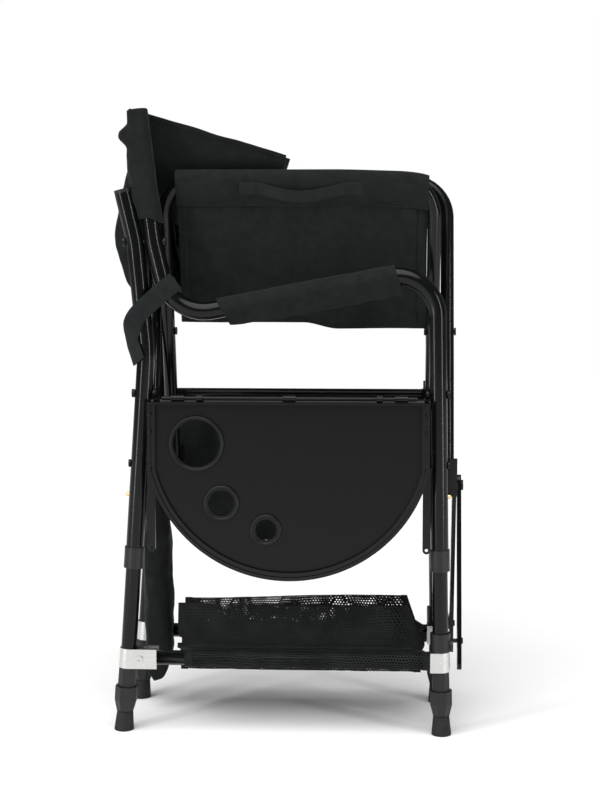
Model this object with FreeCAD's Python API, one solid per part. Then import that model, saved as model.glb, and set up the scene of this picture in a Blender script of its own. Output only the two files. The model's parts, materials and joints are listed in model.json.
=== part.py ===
"""Folding director chair with a side table, a mesh shelf and a footrest bar, stored folded.

Frame, in millimetres: +X to the front, -Y to the table side (called near), +Z up.
Shapes are drawn about the plane midway between the two side frames, and save() moves them
so that the origin is on the ground under the middle of the folded chair.
"""
import math
import os

import FreeCAD
import Part

V = FreeCAD.Vector

# ---- driving dimensions -------------------------------------------------------------
UPPER_R, LOWER_R, SEAT_R, RAIL_R = 12.5, 11.0, 9.5, 10.5
WALL = 1.2
RUN = 0.3                       # running gap between telescoping or turning parts
SIDE_Y = 80.0                   # leg plane to middle plane, folded
PIVOT_Y, PIVOT_Z = 52.0, 350.0  # lower pivots of the two seat frames
RAIL_Z = 783.0                  # seat rails, folded
REAR_X0, REAR_SLOPE = -233.5, 0.069
FRONT_X0, FRONT_SLOPE = 219.5, -0.0175
UPPER_END_Z = 262.0             # lower end of the upper tubes
LOWER_TOP_Z = 376.0             # hidden top of the lower tubes
LEG_END_Z = 64.0                # lower end of the lower tubes
LOWER_RAIL_Z = 105.0
SIDE_RAIL_Z = 470.0
KNEE_Z, POST_Z, TOP_Z = 540.0, 694.0, 868.0
LEG_TRAVEL = 45.0
BUTTON_Z, RIVET_Z, CROSS_Z = 340.0, 384.0, 483.0   # buttons, bracket rivets, cross bolts
BUTTON_R, BUTTON_HOLE_R = 3.1, 3.4
FOOT_STEM_R = 7.0
LINK_R = 9.0                    # half width of the footrest bars and their lugs
COLLAR_R, COLLAR_Z = 14.2, 235.0  # collar at the lower end of an upper tube
INNER_X, OUTER_X = (-176.0, 205.0), (-197.0, 226.0)
SEAT_BEND_R = 55.0
CLOTH_X = (-158.0, 193.0)
CLOTH = 2.0                     # cloth thickness
TABLE_Y, TABLE_T = -97.0, 3.0   # table panel: inner face, thickness
RIM_W, RIM_TOP_W, RIM_D = 11.0, 3.0, 13.0
HINGE_Y, HINGE_Z = -99.5, 478.0
STRUT_X, STRUT_W, STRUT_L = (-189.6, 196.0), 11.0, 113.0
STRUT_PIN_Y, STRUT_PIN_Z = -90.6, 379.0
BOLT_R = 3.0

SEAT_LEG = math.hypot(2 * PIVOT_Y, RAIL_Z - PIVOT_Z)
SEAT_TILT = math.degrees(math.atan2(2 * PIVOT_Y, RAIL_Z - PIVOT_Z))
HALF_LEG = SEAT_LEG / 2
SIDES = {"near": -1, "far": 1}
TO_MIDDLE = V(3.1, 4.8, 0)      # from the drawn place to the middle of the whole chair
X, Y, Z = V(1, 0, 0), V(0, 1, 0), V(0, 0, 1)
parts = {}


# ---- helpers ------------------------------------------------------------------------
def save(name, *solids):
    """Keep one node; several solids make a group of separate pieces."""
    shape = solids[0] if len(solids) == 1 else Part.makeCompound(list(solids))
    parts[name] = shape.translated(TO_MIDDLE)


def rod(start, end, radius):
    return Part.makeCylinder(radius, (end - start).Length, start, end - start)


def tube(start, end, outer, inner):
    return rod(start, end, outer).cut(rod(start, end, inner))


def box(x, y, z):
    return Part.makeBox(x[1] - x[0], y[1] - y[0], z[1] - z[0], V(x[0], y[0], z[0]))


def path(points, radii):
    """Straight runs joined by tangent arcs: one radius per inner point."""
    edges, start = [], points[0]
    for corner, radius, before, after in zip(points[1:-1], radii, points, points[2:]):
        back = (before - corner).normalize()
        ahead = (after - corner).normalize()
        half = back.getAngle(ahead) / 2
        reach = radius / math.tan(half)
        first, last = corner + back * reach, corner + ahead * reach
        middle = (back + ahead).normalize()
        crown = corner + middle * (radius / math.sin(half) - radius)
        edges += [Part.LineSegment(start, first).toShape(), Part.Arc(first, crown, last).toShape()]
        start = last
    edges.append(Part.LineSegment(start, points[-1]).toShape())
    return Part.Wire(edges)


def sweep(wire, radius):
    first = wire.OrderedEdges[0]
    start = first.valueAt(first.FirstParameter)
    ring = Part.Wire(Part.Circle(start, first.tangentAt(first.FirstParameter), radius).toShape())
    return wire.makePipeShell([ring], True, True)


def bent_tube(points, radii, outer, inner):
    wire = path(points, radii)
    return sweep(wire, outer).cut(sweep(wire, inner))


def mirrored(shape, side):
    """Shapes are drawn on the near side; the far side is their mirror image."""
    return shape if side < 0 else shape.mirror(V(0, 0, 0), Y)


def rear(z, y=-SIDE_Y):
    return V(REAR_X0 + REAR_SLOPE * z, y, z)


def front(z, y=-SIDE_Y):
    return V(FRONT_X0 + FRONT_SLOPE * z, y, z)


def octagon(start, end, across, across_end=None):
    """Collar with eight flats, tapered when across_end is given."""
    wires = []
    for point, flat in ((start, across), (end, across_end or across)):
        turn = FreeCAD.Rotation(Z, end - start)
        corners = [point + turn.multVec(V(math.cos(a), math.sin(a), 0)) * (flat / 2)
                   for a in [math.radians(45 * k + 22.5) for k in range(9)]]
        wires.append(Part.makePolygon(corners))
    return Part.makeLoft(wires, True, True)


def bolt(start, end, head_r=6.0, head_t=3.5):
    """Through bolt with a head beyond each end."""
    along = (end - start).normalize()
    shank = rod(start, end, BOLT_R)
    heads = [rod(start - along * head_t, start, head_r), rod(end, end + along * head_t, head_r)]
    return shank.fuse(heads).removeSplitter()


def holes(shape, bolts, radius=BOLT_R + 0.05):
    """Bore a shape for the through bolts given as (start, end) pairs."""
    for start, end in bolts:
        along = (end - start).normalize() * 5
        shape = shape.cut(rod(start - along, end + along, radius))
    return shape


# ---- side frames --------------------------------------------------------------------
ARM_FRONT, ARM_HEEL = V(208, -SIDE_Y, 657.9), V(-160, -SIDE_Y, 588.5)
ARM_BENDS, REAR_BENDS = [56, 60, 120], [260, 200]
POST_A, POST_B = V(-185, -SIDE_Y, POST_Z), V(-205.8, -SIDE_Y, TOP_Z)
POST_DIR = (POST_B - POST_A).normalize()
POST_FRONT = V(POST_DIR.z, 0, -POST_DIR.x)
REAR_TOP = [rear(KNEE_Z), V(-210.5, -SIDE_Y, POST_Z), V(-226, -SIDE_Y, 761.6)]
SIDE_RAIL_R, CLAMP_R = 6.5, 6.55
BLOCKS_X = ((-186, -177), (192, 198.5))


def post_at(z):
    return POST_A + POST_DIR * ((z - POST_Z) / POST_DIR.z)


def across_leg(leg, z):
    """The span of a through bolt across an upper tube, along X."""
    return leg(z) - X * (UPPER_R + 0.7), leg(z) + X * (UPPER_R + 0.7)


def eye_span(x):
    return x - SEAT_R - 0.6, x + SEAT_R + 0.6


def side_frame(name, side):
    """Arm tube with its rail, rear leg tube, tube ends and all the bolted hardware."""
    post_bolt = (REAR_TOP[1] - X * (UPPER_R + 1.4), POST_A + X * (UPPER_R + 1.6))
    cross = [across_leg(rear, CROSS_Z), across_leg(front, CROSS_Z)]
    button_holes = [(leg_at(BUTTON_Z), leg_at(BUTTON_Z) + X * facing * (UPPER_R + 4))
                    for leg_at, facing in ((rear, -1), (front, 1))]
    arm = bent_tube([front(UPPER_END_Z), ARM_FRONT, ARM_HEEL, POST_A, POST_B],
                    ARM_BENDS, UPPER_R, UPPER_R - WALL)
    leg = bent_tube([rear(UPPER_END_Z)] + REAR_TOP, REAR_BENDS, UPPER_R, UPPER_R - WALL)
    rivets = [(leg_at(RIVET_Z) + X * facing * (UPPER_R - WALL),
               leg_at(RIVET_Z) + X * facing * (UPPER_R + 0.5))
              for leg_at in (rear, front) for facing in (-1, 1)]
    arm = holes(holes(arm, cross + [post_bolt] + rivets[2:]), button_holes, BUTTON_HOLE_R)
    leg = holes(holes(leg, cross + [post_bolt] + rivets[:2]), button_holes, BUTTON_HOLE_R)
    save(name + "_rear_leg_tube", mirrored(leg, side))

    rail = tube(rear(SIDE_RAIL_Z), front(SIDE_RAIL_Z), SIDE_RAIL_R, SIDE_RAIL_R - WALL)
    for upright in (rear, front):
        rail = rail.cut(rod(upright(400), upright(540), UPPER_R + 0.05))
    blocks = []
    for x0, x1 in BLOCKS_X:
        block = box((x0, x1), (-SIDE_Y - 7, -SIDE_Y + 8.5), (SIDE_RAIL_Z - 9, SIDE_RAIL_Z + 6.6))
        bore = rod(V(x0, -SIDE_Y, SIDE_RAIL_Z), V(x1, -SIDE_Y, SIDE_RAIL_Z), CLAMP_R)
        blocks.append(block.cut(bore))
    save(name + "_arm_tube", *[mirrored(s, side) for s in [arm, rail] + blocks])

    # tube ends: two collars, a rear leg cap and the plug in the post
    collars = [tube(leg_at(COLLAR_Z), leg_at(UPPER_END_Z + 3), COLLAR_R, UPPER_R + 0.05)
               .fuse(tube(leg_at(COLLAR_Z), leg_at(UPPER_END_Z), COLLAR_R, LOWER_R + RUN))
               for leg_at in (rear, front)]
    top, along = REAR_TOP[2], (REAR_TOP[2] - REAR_TOP[1]).normalize()
    plugs = []
    for end, out, height in ((top, along, 5), (POST_B, POST_DIR, 3)):
        stem = rod(end - out * 12, end + out * 1, UPPER_R - WALL - 0.05)
        plugs.append(rod(end + out * 0.05, end + out * height, UPPER_R).fuse(stem))
    save(name + "_tube_ends", *[mirrored(s, side) for s in collars + plugs])

    # lower pivot brackets: a plate bolted to the leg, with two ears either side of the eye
    brackets, pins = [], []
    eyes = OUTER_X if side < 0 else INNER_X
    for upright, x in ((rear, eyes[0]), (front, eyes[1])):
        left, right = eye_span(x)
        mount_x = upright(RIVET_Z).x
        plate_x = (min(left - 3, mount_x - 8), max(right + 3, mount_x + 8))
        plate = box(plate_x, (-SIDE_Y + UPPER_R + 0.05, -SIDE_Y + UPPER_R + 2.05), (338, 392))
        ears = [box((a, b), (-SIDE_Y + UPPER_R + 0.05, -PIVOT_Y + 8), (341, 359))
                for a, b in ((left - 2.5, left), (right, right + 2.5))]
        pin = (V(left - 2.7, -PIVOT_Y, PIVOT_Z), V(right + 2.7, -PIVOT_Y, PIVOT_Z))
        brackets.append(holes(plate.fuse(ears).removeSplitter(), [pin]))
        pins.append(bolt(*pin, head_r=5, head_t=2))
    frame_bolts = [bolt(*ends) for ends in cross + [post_bolt]]
    frame_bolts += [rod(start, end + (end - start).normalize() * 2.6, BOLT_R)
                    .fuse(rod(end, end + (end - start).normalize() * 2.6, 5.5)) for start, end in rivets]
    hardware = [mirrored(s, side) for s in brackets + frame_bolts + pins]
    save(name + "_frame_hardware", *hardware, *(table_hinge() if side < 0 else []))


# ---- telescoping legs, rail and feet ---------------------------------------------------
def wrap_bracket(leg_at, reach, rail_side):
    """Strap of sheet round the lower tube, with two cheeks that reach along the rail."""
    z0, z1 = LOWER_RAIL_Z - 14, LOWER_RAIL_Z + 14
    outer, inner = LOWER_R + 1.65, LOWER_R + 0.05
    centre = leg_at(LOWER_RAIL_Z)
    loop = rod(leg_at(z0), leg_at(z1), outer)
    far_x = centre.x + rail_side * reach
    body = box(sorted((centre.x, far_x)), (-SIDE_Y - outer, -SIDE_Y + outer), (z0, z1))
    hollow = box(sorted((centre.x, far_x + rail_side * 5)),
                 (-SIDE_Y - inner, -SIDE_Y + inner), (z0 - 5, z1 + 5))
    return loop.fuse(body).cut(hollow).cut(rod(leg_at(z0 - 5), leg_at(z1 + 5), inner))


def leg_set(name, side, leg_at, end):
    """Everything on one telescoping lower leg."""
    prefix = name + "_" + end
    axis = (leg_at(500) - leg_at(0)).normalize()
    slot_side = -1 if end == "rear" else 1
    inner = tube(leg_at(LEG_END_Z), leg_at(LOWER_TOP_Z), LOWER_R, LOWER_R - WALL)
    button_x = leg_at(BUTTON_Z).x
    slot = box(sorted((button_x, button_x + slot_side * 20)), (-SIDE_Y - 6.5, -SIDE_Y + 6.5),
               (BUTTON_Z - LEG_TRAVEL - 6, BUTTON_Z + 6))
    inner = inner.cut(slot)
    save(prefix + "_lower_leg", mirrored(inner, side))

    bracket = wrap_bracket(leg_at, 42 if end == "rear" else 15, -slot_side)
    if end == "rear":
        screw = V(leg_at(LOWER_RAIL_Z).x + 18, -SIDE_Y - LOWER_R - 1.7, LOWER_RAIL_Z)
        head = Part.makeCylinder(5, 2.6, screw, -Y).cut(Part.makeCylinder(2, 1.6, screw - Y * 1.2, -Y))
        save(prefix + "_bracket", mirrored(bracket, side), mirrored(head, side))
    else:
        save(prefix + "_bracket", mirrored(bracket, side))

    fit_r = LOWER_R + 0.05
    sleeve = octagon(leg_at(LEG_END_Z), leg_at(90.5), 26, 25).cut(rod(leg_at(55), leg_at(95), fit_r))
    for z0, z1, outer in ((LEG_END_Z - 6, LEG_END_Z - 0.1, LOWER_R),
                          (LEG_END_Z - 1, LEG_END_Z + 12, LOWER_R - WALL - 0.1)):
        sleeve = sleeve.fuse(tube(leg_at(z0), leg_at(z1), outer, FOOT_STEM_R + RUN))
    fittings = [sleeve]
    if end == "front":
        stem = leg_at(FOOTREST_Z)
        collar = tube(leg_at(120), leg_at(146), 14.5, fit_r)
        boss = rod(stem + X * 12.5, stem + X * 17.5, LINK_R)
        arm = box((stem.x + 13.5, stem.x + 17.5), (-SIDE_Y, -PIVOT_Y), (stem.z - LINK_R, stem.z + LINK_R))
        pad = rod(V(stem.x + 13.5, -PIVOT_Y, stem.z), V(stem.x + 17.5, -PIVOT_Y, stem.z), LINK_R)
        pin_hole = (V(stem.x + 10, -PIVOT_Y, stem.z), V(stem.x + 20, -PIVOT_Y, stem.z))
        bracket = holes(collar.fuse([boss, arm, pad]), [pin_hole])
        fittings.append(bracket.cut(rod(leg_at(100), leg_at(160), fit_r)))
    save(prefix + "_fittings", *[mirrored(s, side) for s in fittings])

    nut = octagon(leg_at(28), leg_at(44), 25, 33).fuse(octagon(leg_at(44), leg_at(LEG_END_Z - 0.6), 33))
    nut = nut.cut(rod(leg_at(20), leg_at(70), FOOT_STEM_R + 0.4))
    nut = nut.cut(rod(leg_at(57.7), leg_at(70), LOWER_R + RUN))
    save(prefix + "_lock_nut", mirrored(nut, side))
    foot = Part.makeCone(14, 11.5, 27 / axis.z, leg_at(0), axis)
    foot = foot.fuse(rod(leg_at(20), leg_at(100), FOOT_STEM_R)).cut(box((-400, 400), (-200, 0), (-20, 0)))
    save(prefix + "_foot", mirrored(foot, side))

    # spring button: a domed pin in the upper tube's hole, on a short leaf inside the tube
    centre = leg_at(BUTTON_Z)
    tip = centre + X * slot_side * (UPPER_R + 2)
    pin = rod(centre + X * slot_side * 7, tip, BUTTON_R).fuse(Part.makeSphere(BUTTON_R, tip))
    leaf = box(sorted((centre.x + slot_side * 6, centre.x + slot_side * 7.2)), (-SIDE_Y - 4, -SIDE_Y + 4),
               (BUTTON_Z - 5, BUTTON_Z + 5))
    save(prefix + "_button", mirrored(pin.fuse(leaf), side))


def lower_rail(name, side, casing):
    start, end = rear(LOWER_RAIL_Z) + X * 17, front(LOWER_RAIL_Z) - X * (LOWER_R + 0.3)
    rail = tube(start, end, RAIL_R, RAIL_R - WALL)
    save(name + "_lower_rail", mirrored(rail, side), mirrored(casing, side))


# ---- seat frames and cloth ----------------------------------------------------------
def seat_u(x_span, pivot_y, turn_sign):
    """An upright U with its feet at the lower pivots, then tilted to the folded position."""
    base, top = PIVOT_Z, PIVOT_Z + SEAT_LEG
    low = [V(x, pivot_y, base) for x in x_span]
    high = [V(x, pivot_y, top) for x in x_span]
    points = [low[0], high[0], high[1], low[1]]
    shape = bent_tube(points, [SEAT_BEND_R] * 2, SEAT_R, SEAT_R - WALL)
    eyes = [Part.makeSphere(SEAT_R, p) for p in low]
    shape = shape.fuse(eyes)
    pins = [(V(x - 15, pivot_y, base), V(x + 15, pivot_y, base)) for x in x_span]
    middles = [(V(x - 15, pivot_y, base + HALF_LEG), V(x + 15, pivot_y, base + HALF_LEG)) for x in x_span]
    shape = holes(shape, pins + middles)
    return tilt(shape, pivot_y, turn_sign), path(points, [SEAT_BEND_R] * 2)


def tilt(shape, pivot_y, turn_sign):
    shape = shape.copy()
    shape.rotate(V(0, pivot_y, PIVOT_Z), X, turn_sign * SEAT_TILT)
    return shape


def seat_half(name, wire, pivot_y, turn_sign, x_span):
    """Half of the seat cloth: a panel in the frame's plane and a casing over its rail."""
    top, foot = PIVOT_Z + SEAT_LEG, PIVOT_Z + HALF_LEG + 12
    left, right = CLOTH_X
    corners = [(left, foot), (left, top - 45), (x_span[0] + 45, top - 6), (x_span[1] - 45, top - 6),
               (right, top - 45), (right, foot), (left, foot)]
    face = Part.Face(Part.makePolygon([V(x, pivot_y - CLOTH / 2, z) for x, z in corners]))
    panel = face.extrude(Y * CLOTH)
    casing = sweep(wire, SEAT_R + 2).common(box((left - 2, right + 6), (pivot_y - 20, pivot_y + 20),
                                                (top - 34, top + 20)))
    cloth = panel.fuse(casing).cut(sweep(wire, SEAT_R + RUN))
    keep = max(cloth.Solids, key=lambda s: s.Volume)
    save(name + "_seat_half", tilt(keep, pivot_y, turn_sign))


def seat():
    outer, outer_wire = seat_u(OUTER_X, -PIVOT_Y, -1)
    inner, inner_wire = seat_u(INNER_X, PIVOT_Y, 1)
    save("outer_seat_frame", outer)
    save("inner_seat_frame", inner)
    seat_half("far", outer_wire, -PIVOT_Y, -1, OUTER_X)
    seat_half("near", inner_wire, PIVOT_Y, 1, INNER_X)
    middle_z = PIVOT_Z + HALF_LEG * math.cos(math.radians(SEAT_TILT))
    spans = ((OUTER_X[0] - SEAT_R, INNER_X[0] + SEAT_R), (INNER_X[1] - SEAT_R, OUTER_X[1] + SEAT_R))
    save("scissor_pins", *[bolt(V(a - 0.3, 0, middle_z), V(b + 0.3, 0, middle_z), 5.5, 2.5) for a, b in spans])


# ---- back cloth -----------------------------------------------------------------------
BACK_LOW, BACK_HIGH = 757.0, 868.0
FOLD_LOW_Y, FOLD_HIGH_Y = -16.5, -60.0
BACK_SET = 13.2                 # cloth plane behind the post axis
BACK_WIDTHS = (182.0, 227.0)    # from the fold line to the middle, low and high
BACK_FOLD = 94.0


def back_point(z, y):
    point = post_at(z) - POST_FRONT * BACK_SET
    return V(point.x, y, point.z)


def back_plate(corners):
    face = Part.Face(Part.makePolygon(corners + corners[:1]))
    return face.extrude(POST_FRONT * CLOTH).translated(-POST_FRONT * (CLOTH / 2))


def back(name, side):
    low, high = back_point(BACK_LOW, FOLD_LOW_Y), back_point(BACK_HIGH, FOLD_HIGH_Y)
    gap = Y * 1.3
    sleeve = rod(post_at(727), post_at(874), 14.2)
    flap = back_plate([back_point(BACK_LOW, -SIDE_Y), low - gap, high - gap, back_point(BACK_HIGH, -SIDE_Y)])
    sleeve = sleeve.fuse(flap).cut(rod(post_at(720), post_at(871.5), UPPER_R + 0.3))
    save(name + "_back_sleeve", mirrored(sleeve, side))
    panel = back_plate([low + gap, low + Y * BACK_WIDTHS[0], high + Y * BACK_WIDTHS[1], high + gap])
    panel.rotate(low, high - low, -BACK_FOLD)
    save(name + "_back_panel", mirrored(panel, side))


# ---- mesh shelf, footrest, table --------------------------------------------------------
MESH_X = (-158.0, 190.0)
MESH_PLEATS = {"rise": 60.0, "fall": 104.0, "return": HALF_LEG - 164.0}
MESH_TILT = 90 - SEAT_TILT
MESH_T, MESH_GAP = 1.6, 4.5      # thickness, and the room left at each crease
MESH_HINGE_Z = LOWER_RAIL_Z + 8
FOOTREST_Z = 128.0


def mesh(name, side):
    casing_x = (MESH_X[0] + 14, MESH_X[1] + 12)
    casing = tube(V(casing_x[0], -SIDE_Y, LOWER_RAIL_Z), V(casing_x[1], -SIDE_Y, LOWER_RAIL_Z), 12.2, 10.8)
    tab = box(casing_x, (-SIDE_Y + 11, -PIVOT_Y - 1), (MESH_HINGE_Z - MESH_T / 2, MESH_HINGE_Z + MESH_T / 2))
    casing = casing.fuse(tab).cut(rod(rear(LOWER_RAIL_Z), front(LOWER_RAIL_Z), 10.8))
    lower_rail(name, side, casing)
    crease, lean = V(0, -PIVOT_Y, MESH_HINGE_Z), MESH_TILT
    for pleat, length in MESH_PLEATS.items():
        start = 1 if pleat == "rise" else MESH_GAP
        panel = box(MESH_X, (crease.y + start, crease.y + length - MESH_GAP),
                    (crease.z - MESH_T / 2, crease.z + MESH_T / 2))
        panel.rotate(crease, X, lean)
        save(name + "_mesh_" + pleat, mirrored(panel, side))
        crease += V(0, math.cos(math.radians(lean)), math.sin(math.radians(lean))) * length
        lean = -lean


def footrest(name, side):
    """Flat bar with round ends; the near one passes in front of the far one at their bolt."""
    stem = front(FOOTREST_Z)
    x0 = stem.x + (24.6 if side < 0 else 17.8)
    low = V(x0, -PIVOT_Y, stem.z)
    ends = (stem.z - 32, stem.z + HALF_LEG + 6)
    bar = box((x0, x0 + 6), (-PIVOT_Y - LINK_R, -PIVOT_Y + LINK_R), ends)
    tips = [rod(V(x0, -PIVOT_Y, z), V(x0 + 6, -PIVOT_Y, z), LINK_R) for z in ends]
    bar = bar.fuse(tips).removeSplitter()
    pivot = (V(stem.x + 13, -PIVOT_Y, stem.z), V(x0 + 8, -PIVOT_Y, stem.z))
    middle = (V(x0 - 2, -PIVOT_Y, stem.z + HALF_LEG), V(x0 + 8, -PIVOT_Y, stem.z + HALF_LEG))
    bar = holes(bar, [pivot, middle])
    screws = [bolt(V(stem.x + 13.2, -PIVOT_Y, stem.z), V(x0 + 6.2, -PIVOT_Y, stem.z), 4.5, 2)]
    if side < 0:
        top = stem.z + HALF_LEG
        screws.append(rod(V(x0 + 6.1, -PIVOT_Y, top), V(x0 + 9, -PIVOT_Y, top), 7.5)
                      .fuse(rod(V(x0 - 6.9, -PIVOT_Y, top), V(x0 + 7, -PIVOT_Y, top), BOLT_R)))
    pieces = [bar] + screws
    for piece in pieces:
        piece.rotate(low, X, -SEAT_TILT)
    save(name + "_footrest_link", *[mirrored(p, side) for p in pieces])


TABLE_X, TABLE_TOP, TABLE_STRAIGHT = (-192.5, 199.5), 473.0, 378.0
TABLE_HOLES = ((-124.3, 415.0, 33.0, 38.0), (-89.7, 331.7, 18.5, 25.2), (-27.7, 294.3, 15.0, 22.4))


def d_face(inset, y):
    """Outline of the table: a straight top, short straight sides and one low arc."""
    left, right = TABLE_X[0] + inset, TABLE_X[1] - inset
    middle = (left + right) / 2
    top = TABLE_TOP - min(inset, RIM_TOP_W)
    low = TABLE_STRAIGHT - (TABLE_X[1] - TABLE_X[0]) / 2 * 0.79 + inset
    arc = Part.Arc(V(right, y, TABLE_STRAIGHT), V(middle, y, low), V(left, y, TABLE_STRAIGHT)).toShape()
    lines = [Part.LineSegment(V(left, y, TABLE_STRAIGHT), V(left, y, top)).toShape(),
             Part.LineSegment(V(left, y, top), V(right, y, top)).toShape(),
             Part.LineSegment(V(right, y, top), V(right, y, TABLE_STRAIGHT)).toShape()]
    return Part.Face(Part.Wire([arc] + lines))


def table():
    panel = d_face(1.6, TABLE_Y).extrude(-Y * TABLE_T)
    rings = []
    for x, z, hole_r, ring_r in TABLE_HOLES:
        centre = V(x, TABLE_Y + 1, z)
        panel = panel.cut(Part.makeCylinder(hole_r + 2.1, 10, centre + Y * 5, -Y))
        flange = Part.makeCylinder(ring_r, 2.6, V(x, TABLE_Y - TABLE_T - 0.1, z), -Y)
        barrel = Part.makeCylinder(hole_r + 2, TABLE_T + 4, V(x, TABLE_Y + 1.5, z), -Y)
        bead = Part.makeTorus((ring_r + hole_r + 2) / 2, 2.2, V(x, TABLE_Y - TABLE_T - 2.4, z), Y)
        ring = flange.fuse([barrel, bead]).cut(Part.makeCylinder(hole_r, 30, centre + Y * 10, -Y))
        rings.append(ring)
    save("table_panel", panel)
    outline = d_face(0, TABLE_Y + 2.5).extrude(-Y * RIM_D)
    rim = outline.cut(d_face(RIM_W, TABLE_Y + 10).extrude(-Y * 40))
    groove = d_face(1.5, TABLE_Y + 0.1).extrude(-Y * (TABLE_T + 0.2))
    lip = d_face(5, TABLE_Y - TABLE_T - 5).extrude(-Y * 6)
    rim = rim.cut(groove).cut(lip)
    loops = []
    for x in (-150.0, 5.0, 160.0):
        ends = V(x - 9, HINGE_Y, HINGE_Z), V(x + 9, HINGE_Y, HINGE_Z)
        strap = box((x - 9, x + 9), (HINGE_Y - 2.5, HINGE_Y + 2.5), (TABLE_TOP - 1, HINGE_Z))
        loops.append(rod(*ends, 4.6).fuse(strap))
    rim = rim.fuse(loops).cut(rod(V(-300, HINGE_Y, HINGE_Z), V(300, HINGE_Y, HINGE_Z), 3.05))
    save("table_rim", rim)
    outer_y = TABLE_Y + 2.5 - RIM_D
    studs = [Part.makeCone(3.2, 2.2, 1.6, V(x, outer_y - 0.02, z), -Y)
             for x in (TABLE_X[0] + 3.5, TABLE_X[1] - 3.5) for z in (456, 432, STRUT_PIN_Z)]
    lugs = []
    for centre in STRUT_X:
        inboard = 1 if centre < 0 else -1
        x0 = centre + inboard * (STRUT_W / 2 + 0.4)
        lug = box(sorted((x0, x0 + inboard * 2.5)), (TABLE_Y + 2.5, STRUT_PIN_Y + 3),
                  (STRUT_PIN_Z - 9, STRUT_PIN_Z + 5))
        pin_end = centre - inboard * (STRUT_W / 2 + 0.4)
        pin = rod(V(x0, STRUT_PIN_Y, STRUT_PIN_Z), V(pin_end, STRUT_PIN_Y, STRUT_PIN_Z), 1.5)
        lugs.append(lug.fuse(pin))
    save("table_fittings", *(rings + studs + lugs))


def table_hinge():
    """Hinge rod of the table and the two clamps that hold it out from the side rail."""
    ends = V(-172, HINGE_Y, HINGE_Z), V(182, HINGE_Y, HINGE_Z)
    pieces = [rod(*ends, 3.0)]
    for x in (-120.0, 130.0):
        ring = Part.makeCylinder(9, 8, V(x - 4, -SIDE_Y, SIDE_RAIL_Z), X)
        eye = Part.makeCylinder(5, 8, V(x - 4, HINGE_Y, HINGE_Z), X)
        web = box((x - 4, x + 4), (HINGE_Y, -SIDE_Y), (HINGE_Z - 3, HINGE_Z + 2))
        clamp = ring.fuse([eye, web]).cut(rod(rear(SIDE_RAIL_Z), front(SIDE_RAIL_Z), CLAMP_R))
        pieces.append(clamp.cut(rod(*ends, 3.02)))
    return pieces


def table_strut(name, centre):
    """Channel-shaped prop that hangs from the table's edge when the table is folded."""
    half, low, high = STRUT_W / 2, STRUT_PIN_Z - STRUT_L, STRUT_PIN_Z
    y0, y1 = STRUT_PIN_Y - 3, STRUT_PIN_Y + 3
    bar = box((centre - half, centre + half), (y0, y1), (low, high + 2))
    hollow = box((centre - half + 1.5, centre + half - 1.5), (y0 + 1.5, y1 + 5), (low - 9, high + 9))
    foot = rod(V(centre, y0, low), V(centre, y1, low), half)
    bar = bar.fuse(foot).cut(hollow)
    bar = bar.cut(rod(V(centre, y0 - 5, low), V(centre, y0 + 5, low), 2.2))
    bar = bar.cut(rod(V(centre - 20, STRUT_PIN_Y, high), V(centre + 20, STRUT_PIN_Y, high), 1.6))
    save(name, bar)


# ---- soft pieces ------------------------------------------------------------------------
def arm_pad(name, side):
    """Loose padded sleeve that hangs on the sloping arm."""
    along = (ARM_FRONT - ARM_HEEL).normalize()
    start, end = ARM_HEEL + along * 69, ARM_HEEL + along * 316
    pad = rod(start, end, 15.2).fuse(rod(start - Z * 5, end - Z * 9, 13.5))
    pad = pad.cut(rod(start - along * 5, end + along * 5, UPPER_R + RUN))
    save(name + "_arm_pad", mirrored(pad, side))


def strap():
    """Flat webbing that ties the folded posts, outside the near frame."""
    outline = [(-154, 622), (-165, 644), (-211, 603), (-228, 562), (-217, 530), (-207, 532),
               (-212, 562), (-200, 588)]
    points = [V(x, -SIDE_Y - UPPER_R - 0.7, z) for x, z in outline]
    save("near_strap", Part.Face(Part.makePolygon(points + points[:1])).extrude(-Y * 2))


def pouches():
    """Soft bags on the far side: behind the back cloth, along the rear leg and on the side rail."""
    bags = {
        (-10, 58): [(-214, 780), (-229, 785), (-255, 714), (-257, 696), (-244, 654), (-225, 620), (-214, 640)],
        (22, 64): [(-214, 335), (-194, 335), (-181, 250), (-179, 90), (-190, 46), (-206, 40), (-217, 54),
                   (-220, 250)],
        (93.5, 99.5): [(-178, 474), (198, 474), (198, 345), (170, 290), (110, 245), (-100, 236), (-150, 262),
                       (-178, 330)]}
    solids = []
    for (y0, y1), outline in bags.items():
        points = [V(x, y0, z) for x, z in outline]
        solids.append(Part.Face(Part.makePolygon(points + points[:1])).extrude(Y * (y1 - y0)))
    save("far_pouches", *solids)


def main():
    os.makedirs("parts", exist_ok=True)
    for name, side in SIDES.items():
        side_frame(name, side)
        leg_set(name, side, rear, "rear")
        leg_set(name, side, front, "front")
        back(name, side)
        mesh(name, side)
        footrest(name, side)
        arm_pad(name, side)
    seat()
    table()
    for end, centre in zip(("rear", "front"), STRUT_X):
        table_strut("table_" + end + "_strut", centre)
    strap()
    pouches()
    for node, shape in parts.items():
        volume = sum(s.Volume for s in shape.Solids)
        if not shape.isValid() or volume <= 0:
            print("BAD", node, shape.isValid(), volume)
        shape.exportStep("parts/" + node + ".step")
    print(len(parts), "nodes")


main()
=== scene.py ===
"""Studio scene of the folded director chair: looks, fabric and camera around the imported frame."""
import json
import math

import bmesh
import bpy
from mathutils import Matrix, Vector, noise


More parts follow.
